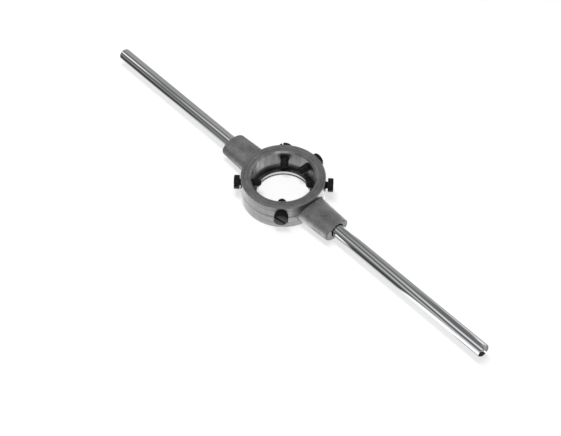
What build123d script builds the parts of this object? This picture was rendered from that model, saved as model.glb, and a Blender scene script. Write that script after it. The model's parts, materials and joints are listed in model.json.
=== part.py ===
"""Die stock for round threading dies.

One casting holds the die: a ring with a flat-bottomed seat and two oval arms. A plain bar is fixed
in the end of each arm, and five slotted cheese-head screws with cone points run through the ring
to locate, spread and close the die.

Frame: the origin is on the ring's axis, in the plane of its underside. X runs along the handles
and Z along the ring's axis, up out of the open seat. The spreading screw lies along Y.
"""
from build123d import *
from math import cos, radians, sin, tan
import os

# Standard round die that the seat takes
die_diameter = 38.0
die_thickness = 14.0
die_clearance = 0.05

# Floor under the die, with a clearance hole for the work
floor_thickness = 3.25
window_diameter = 31.8
mouth_chamfer = 1.0

# Ring, widest at the casting's parting line
ring_diameter = 50.8
ring_draft = 1.0
ring_edge_chamfer = 0.35

# Arms, oval in section, flared at the root and then tapering evenly to the socket end
arm_reach = 46.2
arm_end_width = 17.35
arm_end_height = 12.1
arm_neck_reach = 24.8
arm_neck_width = 19.5
arm_neck_height = 14.3
arm_root_reach = 20.5
arm_root_width = 21.4
arm_root_height = 14.8
arm_drop = 0.6
arm_end_round = 0.7
root_fillet = 0.5

# Handles and the sockets that they are fixed in
overall_length = 315.0
handle_diameter = 7.8
handle_end_chamfer = 0.9
handle_foot_chamfer = 0.5
socket_depth = 16.0
socket_clearance = 0.02
socket_drill_angle = 118.0
relief_diameter = 9.2
relief_depth = 2.0

# Screws, all of one size
screw_diameter = 5.0
screw_length = 13.0
head_diameter = 8.5
head_height = 3.3
head_chamfer = 0.4
slot_width = 1.2
slot_depth = 1.9
neck_diameter = 4.2
neck_length = 0.6
point_length = 1.5
point_diameter = 2.0

# Tapped holes in the ring
hole_clearance = 0.05
hole_countersink = 0.4

# Each screw's place round the ring, how far its head stands off the ring, and how its slot lies
screws = {
    "spreading_screw": {"angle": 90.0, "stands_off": 0.6, "slot": 176.0},
    "closing_screw_right": {"angle": 45.0, "stands_off": 1.2, "slot": 140.0},
    "closing_screw_left": {"angle": 135.0, "stands_off": 1.0, "slot": 64.0},
    "holding_screw_left": {"angle": 225.0, "stands_off": 0.6, "slot": 20.0},
    "holding_screw_right": {"angle": 315.0, "stands_off": 0.1, "slot": 139.0},
}

# Sizes that follow from the ones above
seat_radius = die_diameter / 2 + die_clearance
window_radius = window_diameter / 2
ring_height = floor_thickness + die_thickness
ring_radius = ring_diameter / 2
parting_height = ring_height / 2
screw_height = floor_thickness + die_thickness / 2
arm_height = parting_height - arm_drop


def ring_blank():
    """Solid disc with draft both ways from the parting line and its edges broken."""
    drawn_in = parting_height * tan(radians(ring_draft))
    half_section = Polyline(
        (0, 0),
        (ring_radius - drawn_in, 0),
        (ring_radius, parting_height),
        (ring_radius - drawn_in, ring_height),
        (0, ring_height),
        (0, 0),
    )
    disc = revolve(Plane.XZ * make_face(half_section), Axis.Z)
    rims = disc.edges().filter_by(GeomType.CIRCLE).filter_by(
        lambda edge: abs(edge.center().Z - parting_height) > parting_height / 2
    )
    return chamfer(rims, ring_edge_chamfer)


def arm_section(reach, width, height):
    """Oval of the arm, square to the handle, at a distance from the ring's axis."""
    place = Plane(origin=(reach, 0, arm_height), x_dir=(0, 1, 0), z_dir=(1, 0, 0))
    return place * Ellipse(width / 2, height / 2)


def arm():
    """Arm on the +X side, reaching into the ring, with its end edge rounded."""
    halfway = [
        (arm_neck_reach + arm_reach) / 2,
        (arm_neck_width + arm_end_width) / 2,
        (arm_neck_height + arm_end_height) / 2,
    ]
    oval = loft([
        arm_section(arm_root_reach, arm_root_width, arm_root_height),
        arm_section(arm_neck_reach, arm_neck_width, arm_neck_height),
        arm_section(*halfway),
        arm_section(arm_reach, arm_end_width, arm_end_height),
    ])
    end_rim = oval.faces().sort_by(Axis.X)[-1].edges()
    return fillet(end_rim, arm_end_round)


def socket():
    """Space drilled into the arm's end for the handle, relieved at its mouth."""
    radius = handle_diameter / 2 + socket_clearance
    drill_tip = radius / tan(radians(socket_drill_angle / 2))
    half_section = Polyline(
        (arm_reach - socket_depth - drill_tip, 0),
        (arm_reach - socket_depth, radius),
        (arm_reach - relief_depth, radius),
        (arm_reach - relief_depth, relief_diameter / 2),
        (arm_reach + relief_depth, relief_diameter / 2),
        (arm_reach + relief_depth, 0),
        (arm_reach - socket_depth - drill_tip, 0),
    )
    drilled = revolve(Plane.XZ * make_face(half_section), Axis.X)
    return Pos(0, 0, parting_height) * drilled


def seat():
    """Space for the die, with a chamfered mouth, and the hole through its floor."""
    half_section = Polyline(
        (0, -floor_thickness),
        (window_radius, -floor_thickness),
        (window_radius, floor_thickness),
        (seat_radius, floor_thickness),
        (seat_radius, ring_height - mouth_chamfer),
        (seat_radius + 2 * mouth_chamfer, ring_height + mouth_chamfer),
        (0, ring_height + mouth_chamfer),
        (0, -floor_thickness),
    )
    return revolve(Plane.XZ * make_face(half_section), Axis.Z)


def screw_axis(angle):
    """Plane at the ring's axis, at the height of the screws, with Z outwards along one of them."""
    outwards = (cos(radians(angle)), sin(radians(angle)), 0)
    sideways = (-sin(radians(angle)), cos(radians(angle)), 0)
    return Plane(origin=(0, 0, screw_height), x_dir=sideways, z_dir=outwards)


def screw_hole(angle):
    """Tapped hole through the ring's wall, from the seat outwards, countersunk outside."""
    radius = screw_diameter / 2 + hole_clearance
    start = seat_radius - screw_diameter / 2
    half_section = Polyline(
        (0, start),
        (radius, start),
        (radius, ring_radius - hole_countersink),
        (radius + hole_countersink, ring_radius),
        (radius + hole_countersink, ring_radius + hole_countersink),
        (0, ring_radius + hole_countersink),
        (0, start),
    )
    drilled = revolve(Plane.XZ * make_face(half_section), Axis.Z)
    return screw_axis(angle) * drilled


def body_casting():
    """Ring and both arms as one casting, then everything that is bored and drilled in it."""
    ring = ring_blank()
    right_arm = arm()
    left_arm = mirror(right_arm, Plane.YZ)
    casting = ring + right_arm + left_arm
    crease = new_edges(ring, right_arm, left_arm, combined=casting)
    casting = fillet(crease, root_fillet)
    one_socket = socket()
    casting = casting - seat() - one_socket - mirror(one_socket, Plane.YZ)
    for screw in screws.values():
        casting = casting - screw_hole(screw["angle"])
    return casting


def handle():
    """Plain bar on the +X side, from the bottom of its socket to its chamfered free end."""
    foot = arm_reach - socket_depth
    tip = overall_length / 2
    bar = Plane(origin=(foot, 0, parting_height), z_dir=(1, 0, 0)) * Cylinder(
        handle_diameter / 2, tip - foot, align=(Align.CENTER, Align.CENTER, Align.MIN)
    )
    ends = bar.edges().filter_by(GeomType.CIRCLE).sort_by(Axis.X)
    bar = chamfer(ends[-1], handle_end_chamfer)
    foot_rim = bar.edges().filter_by(GeomType.CIRCLE).sort_by(Axis.X)[0]
    return chamfer(foot_rim, handle_foot_chamfer)


def cheese_head_screw(slot_angle):
    """Screw along Z with its point at the bottom and the underside of its head at Z = 0."""
    shank = screw_diameter / 2
    half_section = Polyline(
        (0, -screw_length),
        (point_diameter / 2, -screw_length),
        (shank, -screw_length + point_length),
        (shank, -neck_length - (shank - neck_diameter / 2)),
        (neck_diameter / 2, -neck_length),
        (neck_diameter / 2, 0),
        (head_diameter / 2, 0),
        (head_diameter / 2, head_height),
        (0, head_height),
        (0, -screw_length),
    )
    turned = revolve(Plane.XZ * make_face(half_section), Axis.Z)
    rim = turned.edges().filter_by(GeomType.CIRCLE).sort_by(Axis.Z)[-1]
    turned = chamfer(rim, head_chamfer)
    slot = Pos(0, 0, head_height) * Rot(0, 0, slot_angle) * Box(
        head_diameter * 2, slot_width, slot_depth * 2
    )
    return turned - slot


def placed_screw(screw):
    """One screw in its hole. The slot's angle is seen from outside, from the horizontal."""
    place = screw_axis(screw["angle"]).offset(ring_radius + screw["stands_off"])
    return place * cheese_head_screw(screw["slot"])


def write(node, shape):
    shape.label = node
    export_step(shape, f"parts/{node}.step")
    print(f"{node}: {len(shape.solids())} solid, {shape.volume:.1f} mm3")


os.makedirs("parts", exist_ok=True)
write("body_casting", body_casting())
right_handle = handle()
write("handle_right", right_handle)
write("handle_left", mirror(right_handle, Plane.YZ))
for node, screw in screws.items():
    write(node, placed_screw(screw))
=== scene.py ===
# %% [markdown]
# # A die stock for round threading dies
# A die stock is the two-handed holder that turns a round threading die. One iron casting is both
# the ring round the die and the arms that lead out to the handles. Plain chromed bars are fixed in
# the arms, and five black slotted screws run through the ring to grip, spread or close the die.
#
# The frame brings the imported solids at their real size, in metres. Everything below is worked out
# in millimetres, from those solids and from a few sizes of the real object, and made metres last.

# %% The frame
import json
from functools import reduce
from math import cos, pi, radians, sin, tan

import bmesh
import bpy
import numpy as np
from mathutils import Matrix, Vector, noise


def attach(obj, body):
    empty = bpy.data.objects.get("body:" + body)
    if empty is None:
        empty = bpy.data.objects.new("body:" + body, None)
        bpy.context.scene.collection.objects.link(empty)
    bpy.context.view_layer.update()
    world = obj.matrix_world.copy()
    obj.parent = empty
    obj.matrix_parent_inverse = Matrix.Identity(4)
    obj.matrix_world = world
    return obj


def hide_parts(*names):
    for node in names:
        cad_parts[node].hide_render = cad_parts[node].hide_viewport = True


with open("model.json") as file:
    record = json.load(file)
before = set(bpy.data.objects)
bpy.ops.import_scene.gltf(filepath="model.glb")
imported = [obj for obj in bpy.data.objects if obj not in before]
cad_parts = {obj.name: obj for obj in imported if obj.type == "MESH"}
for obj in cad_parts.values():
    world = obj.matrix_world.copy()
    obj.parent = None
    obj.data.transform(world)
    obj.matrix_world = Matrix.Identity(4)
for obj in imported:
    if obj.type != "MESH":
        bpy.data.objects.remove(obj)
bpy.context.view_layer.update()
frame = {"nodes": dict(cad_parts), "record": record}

mm = 0.001
mounts = {mount["name"]: mount for mount in frame["record"]["mounts"]}

# %% [markdown]
# ## Camera
# The camera looks down on the ring from the side of one handle, steeply enough to see through the
# hole in the seat's floor. Its angles were fitted to the photograph: azimuth turns it round the
# vertical, and at azimuth 0 it would look along +Y. A long lens keeps the handles nearly parallel.

# %% Camera
photo_width = 561
camera_azimuth = radians(47.69)
camera_elevation = radians(50.74)
camera_distance = 611.9 * mm
camera_aim = Vector((17.57, -18.15, 8.62)) * mm
lens_in_pixels = 1051.4
sensor_width = 36.0

away = Vector((
    sin(camera_azimuth) * cos(camera_elevation),
    -cos(camera_azimuth) * cos(camera_elevation),
    sin(camera_elevation),
))
camera_data = bpy.data.cameras.new("camera")
camera_data.sensor_fit = "HORIZONTAL"
camera_data.sensor_width = sensor_width
camera_data.lens = sensor_width * lens_in_pixels / photo_width
camera = bpy.data.objects.new("camera", camera_data)
camera.location = camera_aim + away * camera_distance
camera.rotation_euler = away.to_track_quat("Z", "Y").to_euler()
bpy.context.collection.objects.link(camera)
bpy.context.scene.camera = camera
print("lens:", round(camera_data.lens, 2), "mm")

# %% [markdown]
# ## Sizes of the casting
# The seat and the hole in its floor are the two fits that a user measures first, so they come from
# the record's mounts. The rest are the casting's own sizes. The ring is widest at mid-height, where
# the two halves of the mould met, and draws in by a degree above and below so that the pattern
# could be lifted out of the sand.

# %% Sizes of the casting
seat_radius = mounts["die_seat"]["dims"]["r_mm"]
window_radius = mounts["work_hole"]["dims"]["r_mm"]
floor_thickness = mounts["work_hole"]["dims"]["length_mm"]
ring_radius = 25.4
ring_height = 17.25
ring_draft = radians(1.0)
rim_round = 0.4
mouth_chamfer = 1.0
parting_height = ring_height / 2
screw_height = floor_thickness + mounts["die_seat"]["dims"]["length_mm"] / 2

arm_height = 8.025
arm_neck_reach, arm_neck_width, arm_neck_height = 24.8, 19.5, 14.3
arm_reach, arm_end_width, arm_end_height = 46.2, 17.35, 12.1
arm_end_round = 0.7
root_blend_beside, root_blend_above, root_blend_falloff = 0.8, 0.5, 3

handle_radius = 3.9
socket_clearance = 0.02
socket_depth = 16.0
drill_angle = radians(118)
relief_radius, relief_depth = 4.6, 2.0

screw_hole_radius = 2.55
hole_countersink = 0.4
screw_angles = {
    "spreading_screw": 90,
    "closing_screw_right": 45,
    "closing_screw_left": 135,
    "holding_screw_left": 225,
    "holding_screw_right": 315,
}
print("seat radius:", seat_radius, "mm, hole in its floor:", window_radius, "mm")

# %% [markdown]
# ## A lattice of points
# The casting has crisp machined seats beside soft cast skin, and its arms flow into a round wall.
# A boolean of simple solids would leave long thin faces there, which shade badly. So the surface is
# laid out as patches, each a lattice of rows and columns about half a millimetre apart. Patches
# that meet share the same edge points, and merging those by distance closes the surface.

# %% A lattice of points
class Surface:
    """Patches of quads, each with the name of its finish, joined into one mesh at the end."""

    def __init__(self):
        self.points = []
        self.faces = []
        self.finishes = []
        self.count = 0

    def lattice(self, rows, finish, closed=True, across=1):
        """Adds rows of points as quads. closed joins each row's ends, across=-1 mirrors it in X."""
        rows = np.asarray(rows, float) * (across, 1, 1)
        row_count, column_count = rows.shape[:2]
        self.points.append(rows.reshape(-1, 3))
        for row in range(row_count - 1):
            start = self.count + row * column_count
            for column in range(column_count - (0 if closed else 1)):
                beside = (column + 1) % column_count
                self.faces.append((
                    start + column, start + beside,
                    start + column_count + beside, start + column_count + column,
                ))
                self.finishes.append(finish)
        self.count += row_count * column_count


def between(first, last, steps):
    """Rows that lead evenly from one row of points to another."""
    shares = np.linspace(0, 1, steps + 1)[:, None, None]
    return np.asarray(first)[None] * (1 - shares) + np.asarray(last)[None] * shares


def on_circle(radius, height, angles):
    """Points round the ring's axis, at one radius and height or at one for each angle."""
    angles = np.asarray(angles, float)
    return np.stack([
        radius * np.cos(angles), radius * np.sin(angles), np.broadcast_to(height, angles.shape),
    ], axis=-1)


# %% [markdown]
# ## The ring's wall
# Seen unrolled, the wall is a strip of columns, and most of it is a plain lattice. Where a screw or
# an arm goes through, the patch is a rectangle with an opening in it. Spokes lead from each point
# on the rectangle's edge to a point on the opening's edge, so the quads turn gently from square to
# round, and both sides keep the points that their neighbours expect.
#
# The outside was skimmed after casting. Only a low ridge, ground down by hand, still shows where
# the two halves of the mould met.

# %% The ring's wall
columns_round = 312
column_step = 2 * pi / columns_round
wall_rows = 32
spoke_rows = 4
arm_half_columns = 30
screw_half_columns = 9
flash_depth, flash_half_width = 0.22, 0.8
wall_low, wall_high = rim_round, ring_height - rim_round


def outer_radius(height):
    """Radius of the ring's outside, which draws in away from the parting line."""
    return ring_radius - np.abs(height - parting_height) * tan(ring_draft)


def flash(height):
    """How far the ground-down ridge at the parting line stands out at a height."""
    return flash_depth * np.maximum(0, 1 - np.abs(height - parting_height) / flash_half_width)


def outer_wall(places):
    """Points on the ring's outside for (angle, height) places."""
    heights = places[..., 1]
    return on_circle(outer_radius(heights) + flash(heights), heights, places[..., 0])


def seat_wall(places):
    """Points on the wall of the die seat for (angle, height) places."""
    return on_circle(seat_radius, places[..., 1], places[..., 0])


def span(column, half_columns):
    """First and last column of a patch that lies evenly round a column."""
    return column - half_columns, column + half_columns


def plain_places(first, last, low, high):
    """(angle, height) places all over a patch from one column to another, as rows."""
    angles = np.arange(first, last + 1) * column_step
    heights = np.linspace(low, high, wall_rows + 1)
    return np.stack(np.meshgrid(angles, heights), axis=-1)


def edge_places(first, last, low, high):
    """The places of a patch that lie on its edge: below, to the right, above and to the left."""
    rows = plain_places(first, last, low, high)
    return np.concatenate([rows[0, :-1], rows[:-1, -1], rows[-1, :0:-1], rows[:0:-1, 0]])


def hole_places(edge, axis_angle, wall_radius, hole_radius):
    """(angle, height) places round a screw's hole, each on the spoke to its edge place."""
    sideways = (edge[:, 0] - axis_angle) * wall_radius
    upwards = edge[:, 1] - screw_height
    turn = np.arctan2(upwards, sideways)
    around = axis_angle + np.arcsin(hole_radius * np.cos(turn) / wall_radius)
    return np.stack([around, screw_height + hole_radius * np.sin(turn)], axis=-1), turn


skin = Surface()
screw_columns = {name: round(radians(angle) / column_step) for name, angle in screw_angles.items()}
seat_low, seat_high = floor_thickness, ring_height - mouth_chamfer

for name, column in screw_columns.items():
    first, last = span(column, screw_half_columns)
    axis_angle = column * column_step
    outer_edge = edge_places(first, last, wall_low, wall_high)
    sunk_radius = screw_hole_radius + hole_countersink
    outer_hole, turn = hole_places(outer_edge, axis_angle, ring_radius, sunk_radius)
    skin.lattice(outer_wall(between(outer_edge, outer_hole, spoke_rows)), "skimmed")

    seat_edge = edge_places(first, last, seat_low, seat_high)
    seat_hole, _ = hole_places(seat_edge, axis_angle, seat_radius, screw_hole_radius)
    skin.lattice(seat_wall(between(seat_edge, seat_hole, spoke_rows)), "bored")

    outwards = np.array([cos(axis_angle), sin(axis_angle), 0])
    sideways = np.array([-sin(axis_angle), cos(axis_angle), 0])
    countersunk = (
        (ring_radius - hole_countersink) * outwards + (0, 0, screw_height)
        + screw_hole_radius * np.cos(turn)[:, None] * sideways
        + screw_hole_radius * np.sin(turn)[:, None] * np.array([0, 0, 1])
    )
    skin.lattice([outer_wall(outer_hole), countersunk, seat_wall(seat_hole)], "tapped")

edge_of_arms = [span(column, arm_half_columns) for column in (0, columns_round // 2)]
edge_of_screws = [span(column, screw_half_columns) for column in screw_columns.values()]
taken = sorted(edge_of_screws + edge_of_arms)
free = [(before[1], after[0]) for before, after in zip(taken, taken[1:]) if after[0] > before[1]]
for first, last in free:
    skin.lattice(outer_wall(plain_places(first, last, wall_low, wall_high)), "skimmed", closed=False)
for first, last in free + edge_of_arms:
    skin.lattice(seat_wall(plain_places(first, last, seat_low, seat_high)), "bored", closed=False)
print("plain stretches of wall, in columns:", free)

# %% [markdown]
# ## The ring's faces
# The top was planed and then blasted, and the underside is as cast. Both have a softened outer rim.
# Inside come the surfaces that were cut last: the chamfer at the seat's mouth, the ledge that the
# die sits on, and the wall of the hole through the floor. A turned profile makes them all: each is
# one lattice, from one circle to the next.

# %% The ring's faces
round_angles = np.arange(columns_round) * column_step
top_rows, chamfer_rows, ledge_rows, window_rows, underside_rows, rim_rows = 10, 2, 6, 6, 18, 4


def circles(places, finish):
    """Adds one lattice through circles given as (radius, height)."""
    skin.lattice([on_circle(radius, height, round_angles) for radius, height in places], finish)


def line(first, last, steps):
    """Places that lead evenly from one (radius, height) to another."""
    return [tuple(place) for place in np.linspace(first, last, steps + 1)]


rim_turns = np.linspace(0, pi / 2, rim_rows + 1)
rim_radius = outer_radius(wall_high) - rim_round
top_rim = [(rim_radius + rim_round * cos(t), wall_high + rim_round * sin(t)) for t in rim_turns]
foot_rim = [(radius, ring_height - height) for radius, height in top_rim]
mouth_radius = seat_radius + mouth_chamfer
circles(top_rim, "blasted")
circles(foot_rim, "skimmed")
circles(line((rim_radius, ring_height), (mouth_radius, ring_height), top_rows), "planed")
circles(line((mouth_radius, ring_height), (seat_radius, seat_high), chamfer_rows), "bored")
circles(line((seat_radius, seat_low), (window_radius, seat_low), ledge_rows), "ledge")
circles(line((window_radius, seat_low), (window_radius, 0), window_rows), "drilled")
circles(line((window_radius, 0), (rim_radius, 0), underside_rows), "blasted")
print("faces so far:", len(skin.faces))

# %% [markdown]
# ## The arms
# Each arm is an oval that tapers evenly away from the ring. Where it meets the wall, a pattern
# maker adds a radius: a generous one at the sides, where the arm is wrenched to and fro, and a
# small one above and below. Each column of the lattice finds where its own line along the arm meets
# the wall, and a short curve between the two surfaces then makes the radius.
#
# At its end the arm is faced flat, with a relief turned round the bar that is fixed in it.

# %% The arms
arm_rows, blend_rows, end_face_rows, relief_rows = 40, 6, 6, 4
wall_guesses = 20


def arm_half_size(reach):
    """Half the width and half the height of the arm's oval at a distance from the ring's axis."""
    share = (reach - arm_neck_reach) / (arm_reach - arm_neck_reach)
    half_width = (arm_neck_width * (1 - share) + arm_end_width * share) / 2
    half_height = (arm_neck_height * (1 - share) + arm_end_height * share) / 2
    return half_width, half_height


def oval(reach, turn, half_width, half_height, middle):
    """Points on an upright oval, at one distance from the ring's axis or at one for each turn."""
    return np.stack([
        np.broadcast_to(reach, turn.shape), half_width * np.cos(turn), middle + half_height * np.sin(turn),
    ], axis=-1)


def arm_point(reach, turn, inset=0.0):
    """Points on the arm's oval. inset makes the oval smaller all round."""
    half_width, half_height = arm_half_size(reach)
    return oval(reach, turn, half_width - inset, half_height - inset, arm_height)


def meet_wall(turn):
    """Reach at which each line along the arm meets the ring's outside, found by repeated guesses."""
    reach = np.full(turn.shape, ring_radius)
    for _ in range(wall_guesses):
        point = arm_point(reach, turn)
        reach = np.sqrt(outer_radius(point[:, 2]) ** 2 - point[:, 1] ** 2)
    return reach


def about_bar(reach, radius, turn):
    """Points round the bar's axis, which lies a little above the middle of the arm."""
    return oval(reach, turn, radius, radius, parting_height)


edge = edge_places(-arm_half_columns, arm_half_columns, wall_low, wall_high)
neck_half_width, neck_half_height = arm_half_size(arm_neck_reach)
arm_turn = np.arctan2(
    (edge[:, 1] - arm_height) / neck_half_height, edge[:, 0] * ring_radius / neck_half_width
)
root_reach = meet_wall(arm_turn)
corner = arm_point(root_reach, arm_turn)
beside = np.abs(np.cos(arm_turn)) ** root_blend_falloff
blend = root_blend_above + (root_blend_beside - root_blend_above) * beside

corner_places = np.stack([np.arctan2(corner[:, 1], corner[:, 0]), corner[:, 2]], axis=-1)
from_middle = (corner_places - (0, arm_height)) * (ring_radius, 1)
spread = 1 + blend / np.linalg.norm(from_middle, axis=1)
foot_places = from_middle * spread[:, None] / (ring_radius, 1) + (0, arm_height)
foot = outer_wall(foot_places)
start_reach = root_reach + blend
start = arm_point(start_reach, arm_turn)

shares = np.linspace(0, 1, blend_rows + 1)[:, None, None]
root = (1 - shares) ** 2 * foot + 2 * shares * (1 - shares) * corner + shares ** 2 * start
steps = np.linspace(0, 1, arm_rows + 1)
end_of_side = arm_reach - arm_end_round
side = [arm_point(start_reach * (1 - step) + end_of_side * step, arm_turn) for step in steps]
rounding = [
    arm_point(end_of_side + arm_end_round * sin(t), arm_turn, arm_end_round * (1 - cos(t)))
    for t in rim_turns
]
bar_turn = np.arctan2(rounding[-1][:, 2] - parting_height, rounding[-1][:, 1])
socket_radius = handle_radius + socket_clearance
drill_point = socket_radius / tan(drill_angle / 2)
relief_mouth, *into_socket = [about_bar(arm_reach - depth, radius, bar_turn) for depth, radius in (
    (0, relief_radius), (relief_depth, relief_radius), (relief_depth, socket_radius),
    (socket_depth, socket_radius), (socket_depth + drill_point, 0.0),
)]

arm_patches = [
    (outer_wall(between(edge, foot_places, spoke_rows)), "skimmed"),
    (root, "blasted"),
    (side, "blasted"),
    (rounding, "blasted"),
    (between(rounding[-1], relief_mouth, end_face_rows), "faced"),
    (between(relief_mouth, into_socket[0], relief_rows), "faced"),
    (into_socket, "tapped"),
]
for across in (1, -1):
    for rows, finish in arm_patches:
        skin.lattice(rows, finish, across=across)
print("faces of the casting:", len(skin.faces))

# %% [markdown]
# ## One closed mesh
# Merging the shared points closes the surface. The tip of each socket is a pole, where a whole row
# is one point, so the faces there that have lost an edge are cleaned up. The normals are then made
# to point outwards, and edges sharper than 30 degrees shade as edges while the rest shade smooth.

# %% One closed mesh
merge_distance = 0.004
sharp_angle = radians(30)


def closed_mesh(name, points, faces, numbers):
    """A mesh in metres whose doubles are merged, with one material number for each face."""
    mesh = bpy.data.meshes.new(name)
    mesh.from_pydata([tuple(point) for point in points * mm], [], faces)
    mesh.polygons.foreach_set("material_index", numbers)
    form = bmesh.new()
    form.from_mesh(mesh)
    bmesh.ops.remove_doubles(form, verts=form.verts, dist=merge_distance * mm)
    bmesh.ops.dissolve_degenerate(form, edges=form.edges, dist=merge_distance * mm / 10)
    bmesh.ops.recalc_face_normals(form, faces=form.faces)
    open_edges = sum(1 for line_of_mesh in form.edges if len(line_of_mesh.link_faces) != 2)
    print(name, "faces:", len(form.faces), "open edges:", open_edges)
    form.to_mesh(mesh)
    form.free()
    return mesh


finish_names = ["blasted", "planed", "skimmed", "bored", "ledge", "drilled", "faced", "tapped"]
finish_numbers = [finish_names.index(finish) for finish in skin.finishes]
casting_mesh = closed_mesh("casting_skin", np.concatenate(skin.points), skin.faces, finish_numbers)

# %% [markdown]
# ## Cast skin
# Sand leaves a skin that is never quite flat, and shot blasting dulls it evenly. Bump alone would
# leave the outlines of the arms dead straight, so the cast points themselves are moved, by a few
# hundredths of a millimetre and only inwards. Points that a machined face shares stay where they
# are, because a lathe leaves a true edge.

# %% Cast skin
skin_waves = 3.2
skin_depth = 0.05
mean_share, broad_share, fine_share, fineness = 0.5, 0.35, 0.15, 3
noise_seed = Vector((11.0, 5.0, 23.0))


def roughen(mesh, cast_number):
    """Moves the points of the cast faces inwards by smooth noise."""
    true_points = set()
    for face in mesh.polygons:
        if face.material_index != cast_number:
            true_points.update(face.vertices)
    moved = 0
    for point, normal in zip(mesh.vertices, [Vector(item.vector) for item in mesh.vertex_normals]):
        if point.index not in true_points:
            place = point.co / mm / skin_waves + noise_seed
            broad, fine = noise.noise(place), noise.noise(place * fineness)
            depth = mean_share + broad_share * broad + fine_share * fine
            point.co -= normal * depth * skin_depth * mm
            moved += 1
    return moved


print("cast points moved:", roughen(casting_mesh, finish_names.index("blasted")))

# %% [markdown]
# ## Where the surface bends
# Outer edges rub bright in use, and the inner ones are darkened with painted shade. Both are painted from
# one
# number at each point: how sharply the surface bends there, above zero at an outer edge and below
# zero in a crease. It is measured once on the finished mesh and kept as an attribute, so a material
# can read it from any side and in any pose.

# %% Where the surface bends
def measure_bends(mesh, softening):
    """Stores the attribute bend: the signed angle at each point, softened over its neighbours."""
    form = bmesh.new()
    form.from_mesh(mesh)
    bends = np.zeros(len(form.verts))
    ends = np.array([[corner.index for corner in side.verts] for side in form.edges])
    angles = np.array([side.calc_face_angle_signed(0.0) for side in form.edges])
    np.add.at(bends, ends[:, 0], angles / 2)
    np.add.at(bends, ends[:, 1], angles / 2)
    neighbours = np.bincount(ends.ravel(), minlength=len(bends))
    for _ in range(softening):
        spread = np.zeros(len(bends))
        np.add.at(spread, ends[:, 0], bends[ends[:, 1]])
        np.add.at(spread, ends[:, 1], bends[ends[:, 0]])
        bends = (bends + spread / np.maximum(neighbours, 1)) / 2
    form.free()
    layer = mesh.attributes.new("bend", "FLOAT", "POINT")
    layer.data.foreach_set("value", bends.astype(np.float32))
    return bends


bends = measure_bends(casting_mesh, softening=4)
print("bend from", round(bends.min(), 2), "to", round(bends.max(), 2))

# %% [markdown]
# ## Building node trees
# Geometry and shader trees are built in the script, so that each size has a name and can be
# changed in one place. Short helpers keep that readable. One makes an empty tree with its named
# inputs and outputs, two add a node with its settings and links, and the others do arithmetic, so
# that a sum of sockets reads almost as it would in Python.

# %% Building node trees
FLOAT, VECTOR = "NodeSocketFloat", "NodeSocketVector"
MATERIAL, GEOMETRY = "NodeSocketMaterial", "NodeSocketGeometry"
number_sockets = {float: FLOAT, int: "NodeSocketInt"}


def new_tree(name, kind, inputs, outputs):
    """An empty node tree. An input is given by its first value, or by its type if it has none."""
    tree = bpy.data.node_groups.new(name, kind)
    for label, value in inputs.items():
        has_value = type(value) in number_sockets
        socket_type = number_sockets[type(value)] if has_value else value
        socket = tree.interface.new_socket(label, in_out="INPUT", socket_type=socket_type)
        if has_value:
            socket.default_value = value
    for label, socket_type in outputs.items():
        tree.interface.new_socket(label, in_out="OUTPUT", socket_type=socket_type)
    return tree, tree.nodes.new("NodeGroupInput").outputs, tree.nodes.new("NodeGroupOutput").inputs


def feed(socket, value):
    """Links another socket to this one, or sets this one to a plain value."""
    if isinstance(value, bpy.types.NodeSocket):
        socket.id_data.links.new(value, socket)
    else:
        socket.default_value = value


def add(tree, kind, links=(), **settings):
    """Adds a node with its settings. links gives a socket or a plain value for each named input."""
    node = tree.nodes.new(kind)
    for label, value in settings.items():
        setattr(node, label, value)
    for label, value in dict(links).items():
        feed(node.inputs[label], value)
    return node


def make(tree, kind, links=(), **settings):
    """Adds a node and gives its first output, which is all that most nodes are used for."""
    return add(tree, kind, links, **settings).outputs[0]


# %% Arithmetic in node trees
def tree_of(*values):
    """The tree that sockets among these values belong to."""
    return next(value.id_data for value in values if isinstance(value, bpy.types.NodeSocket))


def calculate(operation, *values):
    """The result of one Math node."""
    node = add(tree_of(*values), "ShaderNodeMath", operation=operation)
    for socket, value in zip(node.inputs, values):
        feed(socket, value)
    return node.outputs[0]


def running(operation):
    """A function that takes in any number of values, with a Math node for each after the first."""
    def total(*values):
        return reduce(lambda so_far, value: calculate(operation, so_far, value), values)
    return total


plus, minus, times, over = running("ADD"), running("SUBTRACT"), running("MULTIPLY"), running("DIVIDE")
least, most = running("MINIMUM"), running("MAXIMUM")


def vector(x=0.0, y=0.0, z=0.0):
    """A vector joined from three numbers."""
    return make(tree_of(x, y, z), "ShaderNodeCombineXYZ", {"X": x, "Y": y, "Z": z})


def parts(joined):
    """The numbers X, Y and Z that a vector is joined from."""
    return add(joined.id_data, "ShaderNodeSeparateXYZ", {"Vector": joined}).outputs


def off_axis(at):
    """Distance of a place from the Z axis."""
    squares = [calculate("POWER", at[label], 2.0) for label in "XY"]
    return calculate("SQRT", plus(*squares))


def round_axis(turn, radius, height):
    """Place at a turn round the Z axis, a distance from it and a height."""
    cosine, sine = calculate("COSINE", turn), calculate("SINE", turn)
    return vector(times(radius, cosine), times(radius, sine), height)


def rise(value, first, last, low=0.0, high=1.0, smooth=False):
    """A number that goes from low to high as the value goes from first to last, and stays there."""
    return make(value.id_data, "ShaderNodeMapRange", {
        "Value": value, "From Min": first, "From Max": last, "To Min": low, "To Max": high,
    }, interpolation_type="SMOOTHSTEP" if smooth else "LINEAR")


def mixed(mask, first, second):
    """A number that goes from first to second as the mask goes from 0 to 1."""
    tree = tree_of(mask, first, second)
    return make(tree, "ShaderNodeMix", {"Factor": mask, "A": first, "B": second})


# %% From a tree to a piece
bevel_segments = 3


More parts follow.
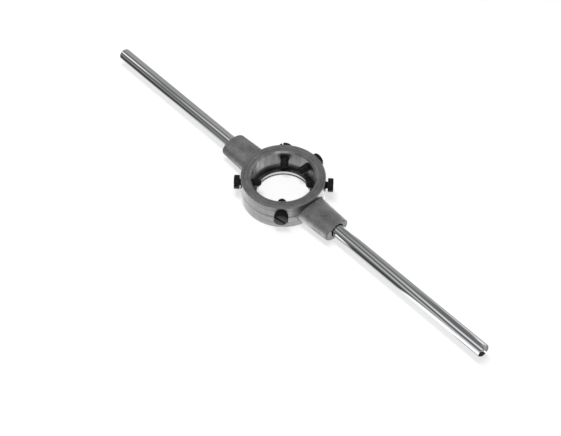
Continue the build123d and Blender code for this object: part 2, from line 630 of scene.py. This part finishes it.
def end_tree(tree, result, geometry, material):
    """Ends a geometry tree: what it placed is made real, and its material is set."""
    real = make(tree, "GeometryNodeRealizeInstances", {"Geometry": geometry})
    dressed = make(tree, "GeometryNodeSetMaterial", {"Geometry": real, "Material": material})
    feed(result["Geometry"], dressed)


def in_metres(sizes):
    """Named sizes in millimetres, made metres."""
    return {label: size * mm for label, size in sizes.items()}


def made_by(tree, name, values, bevel=0.0):
    """The plain mesh that a geometry tree makes with these values for its named inputs."""
    holder = bpy.data.objects.new(name, bpy.data.meshes.new(name))
    bpy.context.collection.objects.link(holder)
    modifier = holder.modifiers.new(name, "NODES")
    modifier.node_group = tree
    for item in tree.interface.items_tree:
        if item.item_type == "SOCKET" and item.in_out == "INPUT" and item.name in values:
            modifier[item.identifier] = values[item.name]
    if bevel:
        rounding = holder.modifiers.new("bevel", "BEVEL")
        rounding.width = bevel
        rounding.segments = bevel_segments
        rounding.limit_method = "ANGLE"
        rounding.angle_limit = sharp_angle
    seen = holder.evaluated_get(bpy.context.evaluated_depsgraph_get())
    mesh = bpy.data.meshes.new_from_object(seen)
    mesh.name = name
    bpy.data.objects.remove(holder)
    return mesh


def place_piece(name, mesh, node_name, body, softening=None):
    """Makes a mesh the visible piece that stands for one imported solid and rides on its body."""
    piece = bpy.data.objects.new(name, mesh)
    bpy.context.collection.objects.link(piece)
    mesh.shade_smooth()
    mesh.set_sharp_from_angle(angle=sharp_angle)
    if softening is not None:
        measure_bends(mesh, softening)
    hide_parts(node_name)
    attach(piece, body)
    return piece


# %% [markdown]
# ## Shared effects
# Each effect that more than one material needs is a shader node group: a blasted grain, the rings
# that a lathe leaves, the change at worn edges and in creases, and the uneven film of oil that
# every handled tool carries. A group only puts out values, and each material decides what they do.

# %% Grain of blasting
def object_place(tree):
    """Where the shaded point lies on its piece."""
    return add(tree, "ShaderNodeTexCoord").outputs["Object"]


def clouds(place, scale, detail, roughness, distortion=0.0):
    """Soft noise from 0 to 1, which gathers near 0.5."""
    return make(place.id_data, "ShaderNodeTexNoise", {
        "Vector": place, "Scale": scale, "Detail": detail, "Roughness": roughness,
        "Distortion": distortion,
    })


def stretched(clouded, spread, low=0.0, high=1.0):
    """Noise with its middle, up to a spread on each side of 0.5, stretched from low to high."""
    return rise(clouded, 0.5 - spread, 0.5 + spread, low, high)


small_pit_share, coarse_pit_share = 0.35, 0.4


def blasted_grain():
    """Height of fine pits, and a shade that drifts over the casting."""
    tree, given, result = new_tree(
        "blasted_grain", "ShaderNodeTree",
        {"Pits per metre": 1500.0, "Fineness of small pits": 2.7, "Patches per metre": 70.0},
        {"Height": FLOAT, "Shade": FLOAT},
    )
    place = object_place(tree)
    coarse = clouds(place, given["Pits per metre"], detail=3.0, roughness=0.65)
    small_pits = times(given["Pits per metre"], given["Fineness of small pits"])
    fine = make(tree, "ShaderNodeTexVoronoi", {"Vector": place, "Scale": small_pits})
    drift = clouds(place, given["Patches per metre"], detail=6.0, roughness=0.75)
    feed(result["Height"], mixed(small_pit_share, coarse, fine))
    feed(result["Shade"], stretched(mixed(coarse_pit_share, drift, coarse), spread=0.14))
    return tree


grain_group = blasted_grain()

# %% Rings of the lathe
def lathe_rings():
    """Fine rings round the Z axis of the given coordinates, and painted reflection streaks round it."""
    tree, given, result = new_tree(
        "lathe_rings", "ShaderNodeTree",
        {"Vector": VECTOR, "Rings per metre": 5000.0, "Streaks": 9.0, "Streaks per metre up": 60.0},
        {"Height": FLOAT, "Streak": FLOAT},
    )
    at = parts(given["Vector"])
    turn = calculate("ARCTAN2", at["Y"], at["X"])
    ring = times(off_axis(at), given["Rings per metre"])
    level = times(at["Z"], given["Rings per metre"])
    up = times(at["Z"], given["Streaks per metre up"])
    feed(result["Height"], clouds(vector(ring, level, turn), scale=0.6, detail=3.0, roughness=0.7))
    across = round_axis(turn, given["Streaks"], up)
    feed(result["Streak"], clouds(across, scale=1.0, detail=4.0, roughness=0.6))
    return tree


rings_group = lathe_rings()

# %% Edges and creases
break_contrast, break_level = 2.2, 0.6


def edge_marks():
    """A broken-up mask along outer edges, and a mask that deepens into creases."""
    tree, given, result = new_tree(
        "edge_marks", "ShaderNodeTree",
        {"Bend at full wear": 0.4, "Bend at full crease": -0.22, "Breaks per metre": 900.0},
        {"Worn": FLOAT, "Crease": FLOAT},
    )
    bend = add(tree, "ShaderNodeAttribute", attribute_name="bend").outputs["Fac"]
    breaks = clouds(object_place(tree), given["Breaks per metre"], detail=4.0, roughness=0.6)
    outer = over(most(bend, 0.0), given["Bend at full wear"])
    broken = minus(times(breaks, break_contrast), break_level)
    feed(result["Worn"], rise(times(outer, broken), 0.0, 1.0))
    feed(result["Crease"], rise(bend, 0.0, given["Bend at full crease"]))
    return tree


edges_group = edge_marks()

# %% Film of oil
def oil_film():
    """Smears that change the gloss a little from place to place."""
    tree, given, result = new_tree(
        "oil_film", "ShaderNodeTree",
        {"Smears per metre": 150.0, "Lowest": 0.1, "Highest": 0.2}, {"Roughness": FLOAT},
    )
    place = object_place(tree)
    smears = clouds(place, given["Smears per metre"], detail=5.0, roughness=0.6, distortion=0.6)
    feed(result["Roughness"], stretched(smears, 0.2, given["Lowest"], given["Highest"]))
    return tree


film_group = oil_film()
print("groups:", [group.name for group in (grain_group, rings_group, edges_group, film_group)])

# %% [markdown]
# ## Finishes
# A casting shows what was done to each face after it left the sand. The arms keep the blasted skin.
# The ring's top was planed on a lathe and then blasted too, so faint rings show through its grain.
# Its outside was skimmed, the die seat bored, with painted shade darkening it towards its floor, the hole
# drilled, and the ends of the arms faced. Bare iron is a metal, so its colour is in its reflection,
# and the roughness decides whether the lights show as shapes or only as a soft tone. Two functions
# make all of these: one for what was blasted last, and one for what was cut last.

# %% Finishes of the casting
rings_per_metre = 2500.0
# Painted shade darkens the creases towards the first grey, by the last two shares below, and worn edges
# turn the second grey
crease_shade_tone, bare_tone = 0.05, 0.62
wear_share, crease_shade_blasted, crease_shade_cut = 0.3, 0.9, 0.5

# The Mix node has an A, a B and a Result for each type, so those for colours go by their numbers
mix_first, mix_second, mix_result = 6, 7, 2


def new_finish(name, settings):
    """A material, its node tree and its Principled shader, with some of the shader's sockets set."""
    material = bpy.data.materials.new(name)
    material.use_nodes = True
    shader = material.node_tree.nodes["Principled BSDF"]
    for label, value in settings.items():
        shader.inputs[label].default_value = value
    return material, material.node_tree, shader


def group(tree, shared, links=()):
    """Places a shared effect in a material with its own values."""
    return add(tree, "ShaderNodeGroup", links, node_tree=shared).outputs


def grey(level):
    """A grey as a colour."""
    return level, level, level, 1.0


def tint(mask, first, second):
    """A colour that goes from one to another as the mask goes from 0 to 1."""
    node = add(tree_of(mask, first, second), "ShaderNodeMix", {"Factor": mask}, data_type="RGBA")
    feed(node.inputs[mix_first], first)
    feed(node.inputs[mix_second], second)
    return node.outputs[mix_result]


def bump(shader, height, strength, depth):
    """Bumps a shader's surface. depth is that of the deepest pit, in millimetres."""
    feed(shader.inputs["Normal"], make(shader.id_data, "ShaderNodeBump", {
        "Height": height, "Strength": strength, "Distance": depth * mm,
    }))


def paint(shader, colour, marks, crease_shade_share):
    """Gives a shader its colour, darkened in the creases with painted shade."""
    feed(shader.inputs["Base Color"], tint(times(marks["Crease"], crease_shade_share), colour, grey(crease_shade_tone)))


def blasted_iron(name, levels=(0.2, 0.54), ring_tone=0.0):
    """Blasted iron. ring_tone is how far its grey follows rings that were turned before blasting."""
    material, tree, shader = new_finish(name, {"Metallic": 1.0, "Roughness": 0.52})
    grain, marks = group(tree, grain_group), group(tree, edges_group)
    shade = grain["Shade"]
    if ring_tone:
        place = object_place(tree)
        rings = group(tree, rings_group, {"Vector": place, "Rings per metre": rings_per_metre})
        shade = mixed(ring_tone, shade, stretched(rings["Height"], spread=0.15))
    clean = tint(shade, grey(levels[0]), grey(levels[1]))
    worn = tint(times(marks["Worn"], wear_share), clean, grey(bare_tone))
    paint(shader, worn, marks, crease_shade_blasted)
    bump(shader, grain["Height"], strength=1.0, depth=0.16)
    return material


def turned_iron(name, gloss, levels, ring_tone, axis_place=(0, 0, 0), axis_turn=(0, 0, 0), shade_below=None):
    """Cut iron with rings round an axis, which axis_place and axis_turn bring onto the pattern's Z.

    gloss is the lowest and highest roughness, and levels the darkest and lightest grey. ring_tone
    is how far the grey follows the rings, rather than the painted reflection streaks across them.
    The last argument gives two heights and the share of light that is left at the lower one: painted
    shade that darkens the colour towards the lower height.
    """
    material, tree, shader = new_finish(name, {"Metallic": 1.0})
    place = object_place(tree)
    centred = make(tree, "ShaderNodeMapping", {
        "Vector": place, "Location": axis_place, "Rotation": axis_turn,
    })
    rings = group(tree, rings_group, {"Vector": centred, "Rings per metre": rings_per_metre})
    film = group(tree, film_group, {"Lowest": gloss[0], "Highest": gloss[1]})
    marks = group(tree, edges_group)
    # The streaks round the axis are painted reflection streaks. They stand in for lights that the lathe's
    # fine grooves stretch across the rings
    pattern = stretched(mixed(ring_tone, rings["Streak"], rings["Height"]), spread=0.15)
    colour = tint(pattern, grey(levels[0]), grey(levels[1]))
    # Painted shade: the colour darkens towards the lower of the two heights
    if shade_below:
        low, high, light_left = shade_below
        unshaded = rise(parts(place)["Z"], low * mm, high * mm, light_left, 1.0, smooth=True)
        colour = tint(unshaded, grey(0.0), colour)
    paint(shader, colour, marks, crease_shade_cut)
    feed(shader.inputs["Roughness"], film["Roughness"])
    bump(shader, rings["Height"], strength=0.25, depth=0.02)
    return material


casting_finishes = {
    "blasted": blasted_iron("blasted_iron"),
    "skimmed": turned_iron("skimmed_iron", (0.26, 0.36), (0.12, 0.28), ring_tone=0.8),
    "planed": blasted_iron("planed_iron", (0.12, 0.6), ring_tone=0.5),
    # The seat's wall is darkened towards its floor with painted shade
    "bored": turned_iron("bored_iron", (0.24, 0.34), (0.32, 0.56), ring_tone=0.3, shade_below=(5.0, 10.0, 0.6)),
    "ledge": turned_iron("ledge_iron", (0.3, 0.45), (0.2, 0.4), ring_tone=0.6),
    "drilled": turned_iron("drilled_iron", (0.1, 0.16), (0.3, 0.42), ring_tone=0.5),
    "faced": turned_iron("faced_iron", (0.2, 0.3), (0.36, 0.64), 0.7,
                         (-parting_height * mm, 0, 0), (0, radians(90), 0)),
    "tapped": turned_iron("tapped_iron", (0.4, 0.5), (0.08, 0.12), ring_tone=0.0),
}
for finish in finish_names:
    casting_mesh.materials.append(casting_finishes[finish])
casting = place_piece("casting", casting_mesh, "body_casting", "stock")
print("casting box:", [round(size / mm, 2) for size in casting.dimensions])

# %% [markdown]
# ## Handles
# Each handle is a length of bright bar, cut off, chamfered and chrome plated. It is the simplest
# form on the tool, a cylinder with a cone at each end, so a geometry tree joins those primitives
# and a narrow bevel gives the plated edges the small radius that catches the light.

# %% Handles
overall_length = 315.0
bar_sizes = {
    "Foot": arm_reach - socket_depth, "Tip": overall_length / 2, "Height": parting_height,
    "Radius": handle_radius, "Tip chamfer": 0.9, "Foot chamfer": 0.5,
}
bar_sides, bar_segments = 96, 24
plated_edge = 0.12


def straight_bar():
    """A bar along X from its foot to its tip, chamfered at both ends."""
    inputs = {
        **in_metres(bar_sizes), "Turn": 0.0, "Sides": bar_sides, "Segments": bar_segments,
        "Material": MATERIAL,
    }
    tree, given, result = new_tree("straight_bar", "GeometryNodeTree", inputs, {"Geometry": GEOMETRY})
    foot_end = plus(given["Foot"], given["Foot chamfer"])
    tip_start = minus(given["Tip"], given["Tip chamfer"])
    shaft = make(tree, "GeometryNodeMeshCylinder", {
        "Vertices": given["Sides"], "Side Segments": given["Segments"], "Radius": given["Radius"],
        "Depth": minus(tip_start, foot_end),
    }, fill_type="NONE")
    pieces = [(shaft, times(plus(tip_start, foot_end), 0.5))]
    for chamfer, narrow_end, wide_end, start in (
        ("Tip chamfer", "Top", "Bottom", tip_start), ("Foot chamfer", "Bottom", "Top", given["Foot"]),
    ):
        cone = add(tree, "GeometryNodeMeshCone", {
            "Vertices": given["Sides"], "Radius " + wide_end: given["Radius"], "Depth": given[chamfer],
            "Radius " + narrow_end: minus(given["Radius"], given[chamfer]),
        })
        opened = make(tree, "GeometryNodeDeleteGeometry", {
            "Geometry": cone.outputs["Mesh"], "Selection": cone.outputs[wide_end],
        }, domain="FACE", mode="ALL")
        pieces.append((opened, start))
    join = add(tree, "GeometryNodeJoinGeometry")
    for mesh, start in pieces:
        where = {"Geometry": mesh, "Translation": vector(z=start)}
        feed(join.inputs["Geometry"], make(tree, "GeometryNodeTransform", where))
    whole = make(tree, "GeometryNodeMergeByDistance", {
        "Geometry": join.outputs["Geometry"], "Distance": merge_distance * mm,
    })
    laid = make(tree, "GeometryNodeTransform", {
        "Geometry": whole, "Rotation": vector(y=given["Turn"]),
        "Translation": vector(z=given["Height"]),
    })
    end_tree(tree, result, laid, given["Material"])
    return tree


def bright_chrome():
    """Chrome plate: a mirror under a thin uneven film."""
    material, tree, shader = new_finish("bright_chrome", {
        "Base Color": (0.7, 0.71, 0.72, 1.0), "Metallic": 1.0,
    })
    film = group(tree, film_group, {"Smears per metre": 60.0, "Lowest": 0.035, "Highest": 0.06})
    feed(shader.inputs["Roughness"], film["Roughness"])
    return material


chrome = bright_chrome()
bar_tree = straight_bar()
for node_name, turn in (("handle_right", 90), ("handle_left", -90)):
    values = {**in_metres(bar_sizes), "Turn": radians(turn), "Material": chrome}
    bar_mesh = made_by(bar_tree, node_name, values, bevel=plated_edge * mm)
    place_piece(node_name.replace("handle", "bar"), bar_mesh, node_name, "stock")
    print(node_name, "faces:", len(bar_mesh.polygons))

# %% [markdown]
# ## Screws
# All five screws are the same: a slotted cheese head on an M5 thread with a cone point that seats in
# a dimple of the die. The thread is a lattice whose rows are sheared by one pitch in each turn, so
# that they follow the helix and the ridge stays crisp. Above and below, the rows gather on a flat
# end and are merged there. The head is a circle swept up a short line, with its size falling away
# at the rim, and a box cuts the slot. The box's faces carry an attribute through the cut, because
# the slot of a used screw is dull and black inside.

# %% Screws
screw_sizes = {
    "Length": 13.0, "Thread radius": 2.5, "Core radius": 2.07, "Pitch": 0.8,
    "Neck radius": 2.1, "Neck length": 0.6, "Point radius": 1.0, "Point length": 1.5,
    "Head radius": 4.25, "Head height": 3.3, "Head edge": 0.4, "Slot width": 1.2, "Slot depth": 1.9,
}
slot_angles = {
    "spreading_screw": 176,
    "closing_screw_right": 140,
    "closing_screw_left": 64,
    "holding_screw_left": 20,
    "holding_screw_right": 139,
}
rows_each_pitch, shank_sides = 8, 48
head_rows, head_sides = 34, 72
gathered_length, inside_head = 2.8, 0.3
root_flat, crest_flat = 0.12, 0.1
slot_overrun = 4.0
spare_turns = 100.0


def threaded_shank(tree, given):
    """The shank along Z, from its point at the bottom to a little way inside the head."""
    pitch, length, top = given["Pitch"], given["Length"], inside_head * mm
    row_step = over(pitch, rows_each_pitch)
    reach = plus(length, pitch, 2 * gathered_length * mm)
    row_count = calculate("ROUND", over(reach, row_step))
    grid = make(tree, "GeometryNodeMeshGrid", {
        "Size X": 1.0, "Size Y": 1.0,
        "Vertices X": shank_sides + 1, "Vertices Y": plus(row_count, 1.0),
    })
    at = parts(make(tree, "GeometryNodeInputPosition"))
    share = plus(at["X"], 0.5)
    row = times(plus(at["Y"], 0.5), row_count, row_step)
    helix = minus(row, plus(length, pitch, gathered_length * mm))
    along = plus(helix, times(pitch, share))
    bottom = times(length, -1.0)
    height = least(most(along, bottom), top)

    phase = calculate("FRACT", plus(over(helix, pitch), spare_turns))
    wave = calculate("ABSOLUTE", minus(times(phase, 2.0), 1.0))
    flank = rise(wave, root_flat, 1 - crest_flat, given["Core radius"], given["Thread radius"])
    narrowing = minus(given["Thread radius"], given["Point radius"])
    slope = over(narrowing, given["Point length"])
    cone = plus(given["Point radius"], times(minus(height, bottom), slope))
    below_neck = minus(times(height, -1.0), given["Neck length"])
    neck = plus(given["Neck radius"], most(below_neck, 0.0))
    past_ends = plus(most(minus(bottom, along), 0.0), most(minus(along, top), 0.0))
    radius = most(minus(least(flank, cone, neck), past_ends), 0.0)

    place = round_axis(times(share, 2 * pi), radius, height)
    wound = make(tree, "GeometryNodeSetPosition", {"Geometry": grid, "Position": place})
    return make(tree, "GeometryNodeMergeByDistance", {
        "Geometry": wound, "Distance": merge_distance * mm / 2,
    })


def cheese_head(tree, given):
    """The head above Z = 0, rounded at its rim."""
    top, edge = given["Head height"], given["Head edge"]
    line_up = make(tree, "GeometryNodeCurvePrimitiveLine", {"End": vector(z=top)})
    spine = make(tree, "GeometryNodeResampleCurve", {"Curve": line_up, "Count": head_rows})
    height = parts(make(tree, "GeometryNodeInputPosition"))["Z"]
    into_edge = most(minus(height, minus(top, edge)), 0.0)
    squares = [calculate("POWER", length, 2.0) for length in (edge, into_edge)]
    left = calculate("SQRT", most(minus(*squares), 0.0))
    circle = make(tree, "GeometryNodeCurvePrimitiveCircle", {"Resolution": head_sides, "Radius": 1.0})
    return make(tree, "GeometryNodeCurveToMesh", {
        "Curve": spine, "Profile Curve": circle, "Fill Caps": True,
        "Scale": minus(given["Head radius"], minus(edge, left)),
    })


def slot_cutter(tree, given):
    """The box that cuts the slot, centred on the head's top. Its faces are marked as the slot's."""
    across, down = times(given["Head radius"], slot_overrun), times(given["Slot depth"], 2.0)
    size = vector(across, given["Slot width"], down)
    box = make(tree, "GeometryNodeMeshCube", {"Size": size})
    placed = make(tree, "GeometryNodeTransform", {
        "Geometry": box, "Translation": vector(z=given["Head height"]),
        "Rotation": vector(z=given["Slot angle"]),
    })
    return make(tree, "GeometryNodeStoreNamedAttribute", {
        "Geometry": placed, "Name": "slot", "Value": 1.0,
    }, data_type="FLOAT", domain="FACE")


def slotted_screw():
    """A slotted cone-point screw along Z, with the underside of its head at Z = 0."""
    inputs = {**in_metres(screw_sizes), "Slot angle": 0.0, "Material": MATERIAL}
    tree, given, result = new_tree("slotted_screw", "GeometryNodeTree", inputs, {"Geometry": GEOMETRY})
    head = make(tree, "GeometryNodeMeshBoolean", {
        "Mesh 1": cheese_head(tree, given), "Mesh 2": slot_cutter(tree, given),
    }, operation="DIFFERENCE", solver="EXACT")
    joined = add(tree, "GeometryNodeMeshBoolean", operation="UNION", solver="EXACT")
    for mesh in (head, threaded_shank(tree, given)):
        feed(joined.inputs["Mesh 2"], mesh)
    end_tree(tree, result, joined.outputs["Mesh"], given["Material"])
    return tree


def blackened_steel():
    """Black oxide on steel, rubbed to grey at its edges and dull inside the slot."""
    material, tree, shader = new_finish("blackened_steel", {"Specular IOR Level": 0.14})
    film = group(tree, film_group, {"Smears per metre": 900.0, "Lowest": 0.26, "Highest": 0.4})
    marks = group(tree, edges_group, {"Breaks per metre": 2500.0})
    grain = group(tree, grain_group, {"Pits per metre": 3000.0})
    in_slot = add(tree, "ShaderNodeAttribute", attribute_name="slot").outputs["Fac"]
    rubbed = mixed(in_slot, times(marks["Worn"], wear_share), 0.0)
    black = tint(rubbed, (0.005, 0.006, 0.005, 1.0), (0.16, 0.16, 0.155, 1.0))
    feed(shader.inputs["Base Color"], black)
    feed(shader.inputs["Roughness"], mixed(in_slot, film["Roughness"], 1.0))
    bump(shader, grain["Height"], strength=0.3, depth=0.02)
    return material


blackened = blackened_steel()
screw_tree = slotted_screw()
bodies = frame["record"]["behaviour"]["bodies"]
body_of_node = {node: body for body, nodes in bodies.items() for node in nodes}
for name, angle in screw_angles.items():
    outwards = Vector((cos(radians(angle)), sin(radians(angle)), 0))
    sideways = Vector((-outwards.y, outwards.x, 0))
    head_top = max(point.co.dot(outwards) for point in frame["nodes"][name].data.vertices)
    slot_angle = radians(slot_angles[name])
    values = {**in_metres(screw_sizes), "Slot angle": slot_angle, "Material": blackened}
    screw_mesh = made_by(screw_tree, name, values)
    place = Matrix((sideways, Vector((0, 0, 1)), outwards)).transposed().to_4x4()
    under_head = head_top - screw_sizes["Head height"] * mm
    place.translation = outwards * under_head + Vector((0, 0, screw_height * mm))
    screw_mesh.transform(place)
    place_piece(name + "_threaded", screw_mesh, name, body_of_node[name], softening=1)
    print(name, "faces:", len(screw_mesh.polygons), "head", round(head_top / mm, 2), "mm from the axis")

# %% [markdown]
# ## Table
# The tool lies on a plain pale table that is lit from below as well as from above, as a packshot
# table is, so its shadows stay faint. What bright metal shows of a table is another matter: the
# photographer lays dark and light card beside it, out of the picture, to draw its edges. Here the
# table itself has two faces. One is the pale one that the camera and soft light meet. The other is
# met only by mirrored light, and is made of cards.
#
# A dark card lies in front of the handles, drawn nearer at the far left and lighter by the left arm.
# A pale one lies under them, and grey, dark and pale strips behind. Towards the right tip the front
# card is white, with a dark strip close under the tip, and three small cards past the end draw the
# end face. Round the ring it is bright, most of all behind the right arm, but grey under the arms.
# The floor inside the ring is white, then dark, bright and grey in rings under the hole's wall.

# %% Table
floor_half_size = 3.0
floor_corners = [(-1, -1), (1, -1), (1, 1), (-1, 1)]
floor_mesh = bpy.data.meshes.new("floor")
floor_mesh.from_pydata(
    [(x * floor_half_size, y * floor_half_size, 0) for x, y in floor_corners], [], [(0, 1, 2, 3)]
)
floor = bpy.data.objects.new("floor", floor_mesh)
bpy.context.collection.objects.link(floor)

# Brightness of the cards that the masks below place
dark_card, lighter_card, pale_card, white_card, tip_card = 0.08, 0.3, 0.85, 1.4, 0.03
end_cards = (0.04, 1.5, 0.3)
under_arms, round_ring, behind_arm = 0.5, 1.7, 2.3
# How far the dark card is drawn nearer at the far left, in millimetres
drawn_nearer = 4

# Each of these starts between two lengths in millimetres and has one brightness
strips_behind = [(4, 12, 0.5), (20, 28, 0.1), (50, 80, 0.7)]
rings_inside = [(23, 20, 1.0), (15.4, 15.2, 0.08), (14.7, 14.5, 1.7), (13.3, 13.0, 0.45)]


def step(length, first, last):
    """A mask that rises from 0 to 1 as a length goes from first to last, in millimetres."""
    return rise(length, first * mm, last * mm, smooth=True)


def card_tones(tree):
    """Brightness of the cards on the table, as mirrored light sees them."""
    at = parts(object_place(tree))
    radius = off_axis(at)

    def in_x(first, last):
        return step(at["X"], first, last)

    def in_y(first, last):
        return step(at["Y"], first, last)

    by_left_arm = least(in_x(-98, -84), in_x(-50, -60), in_y(-60, -40))
    in_front = mixed(by_left_arm, dark_card, lighter_card)
    nearer = times(in_x(-100, -118), drawn_nearer * mm)
    pale = step(minus(at["Y"], nearer), -14, -9)
    beside = mixed(pale, in_front, pale_card)
    for first, last, level in strips_behind:
        beside = mixed(in_y(first, last), beside, level)
    towards_tip = times(in_x(92, 101), in_y(-2, -6))
    beside = mixed(towards_tip, beside, white_card)
    under_tip = least(in_x(134, 142), in_y(-7, -6), in_y(-3, -4))
    beside = mixed(under_tip, beside, tip_card)
    past_end = mixed(in_y(5.6, 6.2), mixed(in_y(4.6, 5.2), *end_cards[:2]), end_cards[2])
    beside = mixed(in_x(156, 157.5), beside, past_end)

    level_with_ring = least(in_x(32, 28), in_x(-26, -22))
    clear_of_arms = step(calculate("ABSOLUTE", at["Y"]), 13, 18)
    bright = mixed(least(in_x(12, 20), in_y(10, 16)), round_ring, behind_arm)
    near_ring = mixed(most(clear_of_arms, level_with_ring), under_arms, bright)
    tone = mixed(step(radius, 48, 58), near_ring, beside)
    for first, last, level in rings_inside:
        tone = mixed(step(radius, first, last), tone, level)
    return tone


table_white, table_tree, table_shader = new_finish("table_white", {
    "Base Color": grey(0.45), "Roughness": 0.9, "Specular IOR Level": 0.0,
    "Emission Color": grey(1.0), "Emission Strength": 0.62,
})
cards = make(table_tree, "ShaderNodeEmission", {"Strength": card_tones(table_tree)})
mirrored = add(table_tree, "ShaderNodeLightPath").outputs["Is Glossy Ray"]
both = make(table_tree, "ShaderNodeMixShader", {0: mirrored, 1: table_shader.outputs[0], 2: cards})
feed(table_tree.nodes["Material Output"].inputs["Surface"], both)
floor_mesh.materials.append(table_white)

# %% [markdown]
# ## Light
# Chrome is only as good as what it mirrors. The room is a set of long soft bands in line with the
# handles, from one horizon over the top to the other, so each handle carries their streaks from end
# to end. The bands are worked out from the angle round the X axis, and slant a little on the left,
# where the photograph's streaks wander. Soft cards are laid over them, each between two angles and
# two reaches along X. A small lamp overhead lights the table and throws the narrow shadows, and
# isn't seen in mirrored light.

# %% Light
lamp_length, lamp_width, lamp_height, lamp_forwards = 0.5, 0.16, 1.0, 0.1
lamp_radiance = 22.0
lamp_light = bpy.data.lights.new("lamp", "AREA")
lamp_light.shape = "RECTANGLE"
lamp_light.size, lamp_light.size_y = lamp_length, lamp_width
lamp_light.energy = lamp_radiance * pi * lamp_length * lamp_width
lamp = bpy.data.objects.new("lamp", lamp_light)
lamp.location = (0, -lamp_forwards, lamp_height)
lamp.visible_glossy = False
bpy.context.collection.objects.link(lamp)

# Brightness at each angle round the X axis, in degrees up from the horizon in front
room_bands = {
    -30: 0.34, -8: 0.32, 2: 0.13, 14: 0.16, 26: 0.32, 36: 0.64, 47: 0.68, 55: 0.34, 62: 0.12,
    71: 0.1, 79: 0.28, 88: 0.75, 95: 1.15, 102: 1.0, 110: 0.42, 119: 0.2, 130: 0.16, 142: 0.32, 156: 0.42,
    172: 0.42, 190: 0.46, 210: 0.5,
}
# Each card's brightness, then its two soft edges round the X axis and its two along it
room_cards = [
    (0.42, (70, 84, 146, 160), (-2.0, -1.0, -0.5, -0.46)),
    (0.32, (80, 90, 106, 114), (-0.47, -0.45, -0.42, -0.3)),
    (0.19, (128, 140, 168, 194), (-0.35, -0.31, -0.2, -0.15)),
    (1.6, (190, 222, 300, 320), (-0.34, -0.3, -0.2, -0.15)),
    (2.0, (27, 31, 37, 41), (-2.0, -1.0, -0.636, -0.616)),
    (0.25, (32, 39, 56, 64), (-0.616, -0.608, -0.594, -0.584)),
    (0.96, (37, 44, 50, 56), (-0.574, -0.552, -0.5, -0.49)),
    (1.1, (164, 178, 300, 320), (-0.2725, -0.2695, -0.2, -0.15)),
]
slant_reach, slant_angles = (-0.476, -0.288), (radians(-27), radians(35))


def within(value, edges):
    """A mask that rises between the first two of four edges and falls between the last two."""
    return least(rise(value, *edges[:2]), rise(value, *edges[:1:-1]))


world = bpy.data.worlds.new("world")
world.use_nodes = True
bpy.context.scene.world = world
room = world.node_tree
towards = parts(add(room, "ShaderNodeTexCoord").outputs["Generated"])
angle = calculate("ARCTAN2", towards["Z"], times(towards["Y"], -1.0))
slanted = plus(angle, rise(towards["X"], *slant_reach, *slant_angles))
first_band, last_band = min(room_bands), max(room_bands)
ramp = add(room, "ShaderNodeValToRGB", {
    "Fac": rise(slanted, radians(first_band), radians(last_band)),
})
while len(ramp.color_ramp.elements) < len(room_bands):
    ramp.color_ramp.elements.new(0.5)
for element, (degrees, level) in zip(ramp.color_ramp.elements, room_bands.items()):
    element.position = (degrees - first_band) / (last_band - first_band)
    element.color = grey(level)
tone = ramp.outputs["Color"]
for level, degrees, reaches in room_cards:
    turned = within(slanted, [radians(edge) for edge in degrees])
    tone = mixed(least(turned, within(towards["X"], reaches)), tone, level)
feed(room.nodes["Background"].inputs["Color"], tone)
bpy.context.scene.view_settings.view_transform = "Standard"
print("bands of light:", len(room_bands), "and cards:", len(room_cards))
